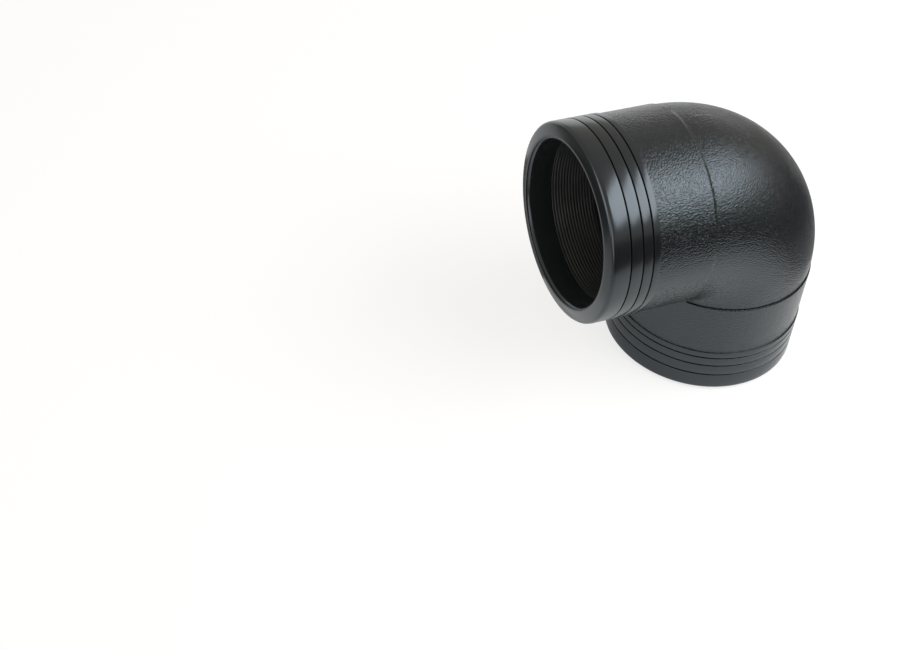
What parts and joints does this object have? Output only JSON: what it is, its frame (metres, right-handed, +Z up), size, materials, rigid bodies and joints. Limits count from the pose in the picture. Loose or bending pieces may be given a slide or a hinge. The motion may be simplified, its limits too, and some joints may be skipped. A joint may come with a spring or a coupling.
{
  "type": "electrofusion elbow",
  "caption": "Moulded 90 degree pipe elbow with two grooved electrofusion sockets, embedded heating windings and shrouded terminal pins.",
  "frame": {"origin": "centre of the lower socket's mouth, in the plane of its rim, which the elbow stands on", "axes": "+Z up along the lower socket's axis, +X along the upper socket's axis and out of its mouth, terminals on the -Y flank"},
  "size_m": [0.2775, 0.2065, 0.2775],
  "materials": {
    "body": "black moulded polyethylene, finely grained on the legs and bend, smooth satin on the socket bands",
    "winding": "close-wound wire with a black plastic cover, fine ridges",
    "terminal": "bright turned brass"
  },
  "bodies": {
    "root": {"elbow_body": "body", "upper_winding": "winding", "lower_winding": "winding", "upper_outer_terminal": "terminal", "upper_inner_terminal": "terminal", "lower_outer_terminal": "terminal", "lower_inner_terminal": "terminal"}
  },
  "joints": []
}
